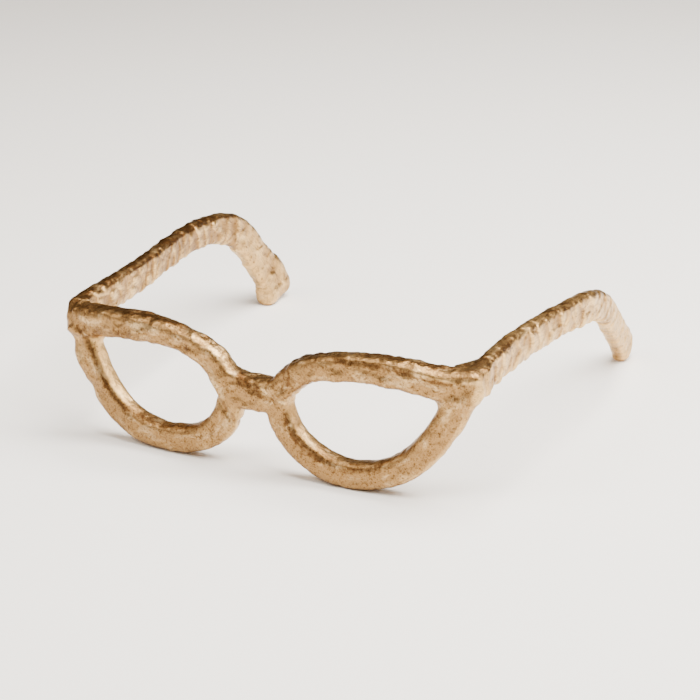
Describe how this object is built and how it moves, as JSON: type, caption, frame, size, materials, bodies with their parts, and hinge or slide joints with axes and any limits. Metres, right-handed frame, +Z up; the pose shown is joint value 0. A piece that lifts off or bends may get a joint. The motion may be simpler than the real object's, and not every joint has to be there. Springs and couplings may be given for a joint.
{
  "type": "eyeglasses sculpture",
  "caption": "Tabletop sculpture of cat-eye spectacles without lenses: rounded, hand-worked metal bars standing on the rims and temple tips.",
  "frame": {"origin": "on the table, under the middle of the whole sculpture", "axes": "+X across the face towards the right ring as seen from the front, +Y back along the temples, +Z up"},
  "size_m": [0.3078, 0.303, 0.09],
  "materials": {
    "casting": "hand-worked cast metal in a pale antique gold, with tool marks, pits and a dark brown patina on upward faces",
    "weld": "dressed weld beads in the same antique gold, darker in the creases",
    "dowel": "plain drawn rod, hidden",
    "pad": "natural rubber, matt, thin"
  },
  "bodies": {
    "root": {"bridge": "casting", "brow_left": "casting", "brow_right": "casting", "lower_rim_left": "casting", "lower_rim_right": "casting", "temple_left": "casting", "temple_right": "casting", "brow_dowel_left": "dowel", "brow_dowel_right": "dowel", "rim_dowel_left": "dowel", "rim_dowel_right": "dowel", "corner_dowel_left": "dowel", "corner_dowel_right": "dowel", "temple_dowel_left": "dowel", "temple_dowel_right": "dowel", "brow_weld_left": "weld", "brow_weld_right": "weld", "rim_weld_left": "weld", "rim_weld_right": "weld", "corner_weld_left": "weld", "corner_weld_right": "weld", "temple_weld_left": "weld", "temple_weld_right": "weld", "rim_pad_left": "pad", "rim_pad_right": "pad", "tip_pad_left": "pad", "tip_pad_right": "pad"}
  },
  "joints": []
}
